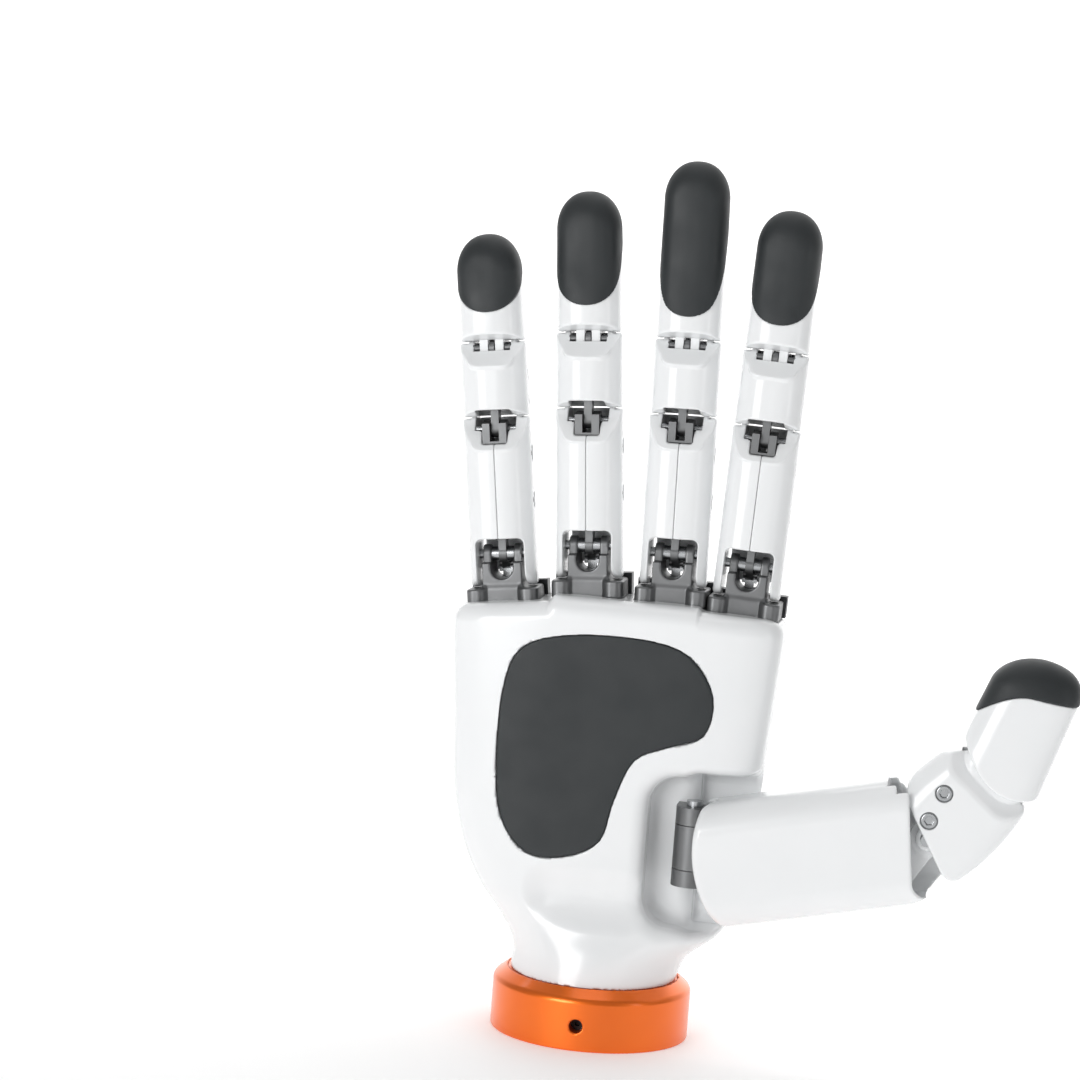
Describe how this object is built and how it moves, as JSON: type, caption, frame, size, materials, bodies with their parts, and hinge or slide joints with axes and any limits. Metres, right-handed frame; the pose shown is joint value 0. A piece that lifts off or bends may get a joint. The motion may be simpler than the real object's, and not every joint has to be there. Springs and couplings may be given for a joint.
{
  "type": "dexterous robot hand",
  "caption": "Right robot hand with a rounded palm, jointed fingers, a swinging thumb with rubber tips and a wrist flange that bolts to an arm.",
  "frame": {"origin": "centre of the wrist flange's mounting face", "axes": "+Z along the hand towards the fingertips; the palm faces -Y; the thumb is on the +X side"},
  "size_m": [0.1638, 0.051, 0.2242],
  "materials": {
    "white_shell": "gloss white moulded plastic",
    "rubber_pad": "smooth near-black soft rubber",
    "orange_ring": "satin orange anodised",
    "grey_metal": "fine bead-blasted grey",
    "dark_rail": "satin dark grey",
    "steel": "fine turned steel",
    "motor_case": "satin dark anodised",
    "circuit_board": "solder-resist green"
  },
  "bodies": {
    "palm": {"palm_shell": "white_shell", "back_shell": "white_shell", "palm_pad": "rubber_pad", "wrist_ring": "orange_ring", "wrist_flange": "grey_metal", "palm_frame": "grey_metal", "knuckle_rail": "dark_rail", "little_bracket": "grey_metal", "ring_bracket": "grey_metal", "middle_bracket": "grey_metal", "index_bracket": "grey_metal", "hinge_pins": "steel", "finger_actuators": "motor_case", "thumb_motor": "motor_case", "control_board": "circuit_board", "thumb_bracket": "grey_metal", "palm_screws": "steel"},
    "little_rod": {"little_rod": "steel"},
    "little_base": {"little_shell_left": "white_shell", "little_shell_right": "white_shell", "little_lever": "grey_metal", "little_pins": "steel"},
    "little_mid": {"little_middle": "white_shell", "little_link": "grey_metal"},
    "little_tip": {"little_tip_shell": "white_shell", "little_tip_pad": "rubber_pad"},
    "ring_rod": {"ring_rod": "steel"},
    "ring_base": {"ring_shell_left": "white_shell", "ring_shell_right": "white_shell", "ring_lever": "grey_metal", "ring_pins": "steel"},
    "ring_mid": {"ring_middle": "white_shell", "ring_link": "grey_metal"},
    "ring_tip": {"ring_tip_shell": "white_shell", "ring_tip_pad": "rubber_pad"},
    "middle_rod": {"middle_rod": "steel"},
    "middle_base": {"middle_shell_left": "white_shell", "middle_shell_right": "white_shell", "middle_lever": "grey_metal", "middle_pins": "steel"},
    "middle_mid": {"middle_middle": "white_shell", "middle_link": "grey_metal"},
    "middle_tip": {"middle_tip_shell": "white_shell", "middle_tip_pad": "rubber_pad"},
    "index_rod": {"index_rod": "steel"},
    "index_base": {"index_shell_left": "white_shell", "index_shell_right": "white_shell", "index_lever": "grey_metal", "index_pins": "steel"},
    "index_mid": {"index_middle": "white_shell", "index_link": "grey_metal"},
    "index_tip": {"index_tip_shell": "white_shell", "index_tip_pad": "rubber_pad"},
    "thumb_base": {"thumb_knuckle": "grey_metal", "thumb_base_shell": "white_shell", "thumb_base_pin": "steel"},
    "thumb_mid": {"thumb_middle_shell": "white_shell", "thumb_middle_pins": "steel"},
    "thumb_tip": {"thumb_tip_shell": "white_shell", "thumb_tip_pad": "rubber_pad"}
  },
  "joints": [
    {"name": "little_knuckle", "type": "hinge", "parent": "palm", "child": "little_base", "pos_m": [-0.0314, 0, 0.121], "axis": [0.9923, 0, 0.1236], "range_deg": [0, 75]},
    {"name": "little_middle_joint", "type": "hinge", "parent": "little_base", "child": "little_mid", "pos_m": [-0.03537, -0.002, 0.15285], "axis": [0.9923, 0, 0.1236], "range_deg": [0, 75]},
    {"name": "little_end_joint", "type": "hinge", "parent": "little_mid", "child": "little_tip", "pos_m": [-0.03791, -0.002, 0.1733], "axis": [0.9923, 0, 0.1236], "range_deg": [0, 53]},
    {"name": "little_push", "type": "slide", "parent": "palm", "child": "little_rod", "axis": [-0.1236, 0, 0.9923], "range_m": [0, 0.00549]},
    {"name": "ring_knuckle", "type": "hinge", "parent": "palm", "child": "ring_base", "pos_m": [-0.0093, 0, 0.1251], "axis": [0.9971, 0, 0.0767], "range_deg": [0, 75]},
    {"name": "ring_middle_joint", "type": "hinge", "parent": "ring_base", "child": "ring_mid", "pos_m": [-0.01176, -0.002, 0.1571], "axis": [0.9971, 0, 0.0767], "range_deg": [0, 75]},
    {"name": "ring_end_joint", "type": "hinge", "parent": "ring_mid", "child": "ring_tip", "pos_m": [-0.01334, -0.002, 0.17764], "axis": [0.9971, 0, 0.0767], "range_deg": [0, 53]},
    {"name": "ring_push", "type": "slide", "parent": "palm", "child": "ring_rod", "axis": [-0.0767, 0, 0.9971], "range_m": [0, 0.00549]},
    {"name": "middle_knuckle", "type": "hinge", "parent": "palm", "child": "middle_base", "pos_m": [0.0127, 0, 0.125], "axis": [0.9999, 0, 0.0157], "range_deg": [0, 75]},
    {"name": "middle_middle_joint", "type": "hinge", "parent": "middle_base", "child": "middle_mid", "pos_m": [0.0122, -0.002, 0.1571], "axis": [0.9999, 0, 0.0157], "range_deg": [0, 75]},
    {"name": "middle_end_joint", "type": "hinge", "parent": "middle_mid", "child": "middle_tip", "pos_m": [0.01187, -0.002, 0.17769], "axis": [0.9999, 0, 0.0157], "range_deg": [0, 53]},
    {"name": "middle_push", "type": "slide", "parent": "palm", "child": "middle_rod", "axis": [-0.0157, 0, 0.9999], "range_m": [0, 0.00549]},
    {"name": "index_knuckle", "type": "hinge", "parent": "palm", "child": "index_base", "pos_m": [0.032, 0, 0.1237], "axis": [0.999, 0, -0.0436], "range_deg": [0, 75]},
    {"name": "index_middle_joint", "type": "hinge", "parent": "index_base", "child": "index_mid", "pos_m": [0.0334, -0.002, 0.15577], "axis": [0.999, 0, -0.0436], "range_deg": [0, 75]},
    {"name": "index_end_joint", "type": "hinge", "parent": "index_mid", "child": "index_tip", "pos_m": [0.0343, -0.002, 0.17635], "axis": [0.999, 0, -0.0436], "range_deg": [0, 53]},
    {"name": "index_push", "type": "slide", "parent": "palm", "child": "index_rod", "axis": [0.0436, 0, 0.999], "range_m": [0, 0.00549]},
    {"name": "thumb_swing", "type": "hinge", "parent": "palm", "child": "thumb_base", "pos_m": [0.0239, -0.009, 0.0521], "axis": [0, 0, -1], "range_deg": [0, 90]},
    {"name": "thumb_bend", "type": "hinge", "parent": "thumb_base", "child": "thumb_mid", "pos_m": [0.08278, -0.009, 0.0608], "axis": [0, -1, 0], "range_deg": [-8, 20]},
    {"name": "thumb_end_joint", "type": "hinge", "parent": "thumb_mid", "child": "thumb_tip", "pos_m": [0.09878, -0.009, 0.07988], "axis": [0, -1, 0], "range_deg": [-4.8, 12]}
  ],
  "couplings": [
    {"joint": "little_middle_joint", "follows": "little_knuckle", "ratio": 1},
    {"joint": "little_end_joint", "follows": "little_knuckle", "ratio": 0.70667},
    {"joint": "little_push", "follows": "little_knuckle", "m_per_rad": 0.0041855},
    {"joint": "ring_middle_joint", "follows": "ring_knuckle", "ratio": 1},
    {"joint": "ring_end_joint", "follows": "ring_knuckle", "ratio": 0.70667},
    {"joint": "ring_push", "follows": "ring_knuckle", "m_per_rad": 0.0041855},
    {"joint": "middle_middle_joint", "follows": "middle_knuckle", "ratio": 1},
    {"joint": "middle_end_joint", "follows": "middle_knuckle", "ratio": 0.70667},
    {"joint": "middle_push", "follows": "middle_knuckle", "m_per_rad": 0.0041855},
    {"joint": "index_middle_joint", "follows": "index_knuckle", "ratio": 1},
    {"joint": "index_end_joint", "follows": "index_knuckle", "ratio": 0.70667},
    {"joint": "index_push", "follows": "index_knuckle", "m_per_rad": 0.0041855},
    {"joint": "thumb_end_joint", "follows": "thumb_bend", "ratio": 0.6}
  ]
}
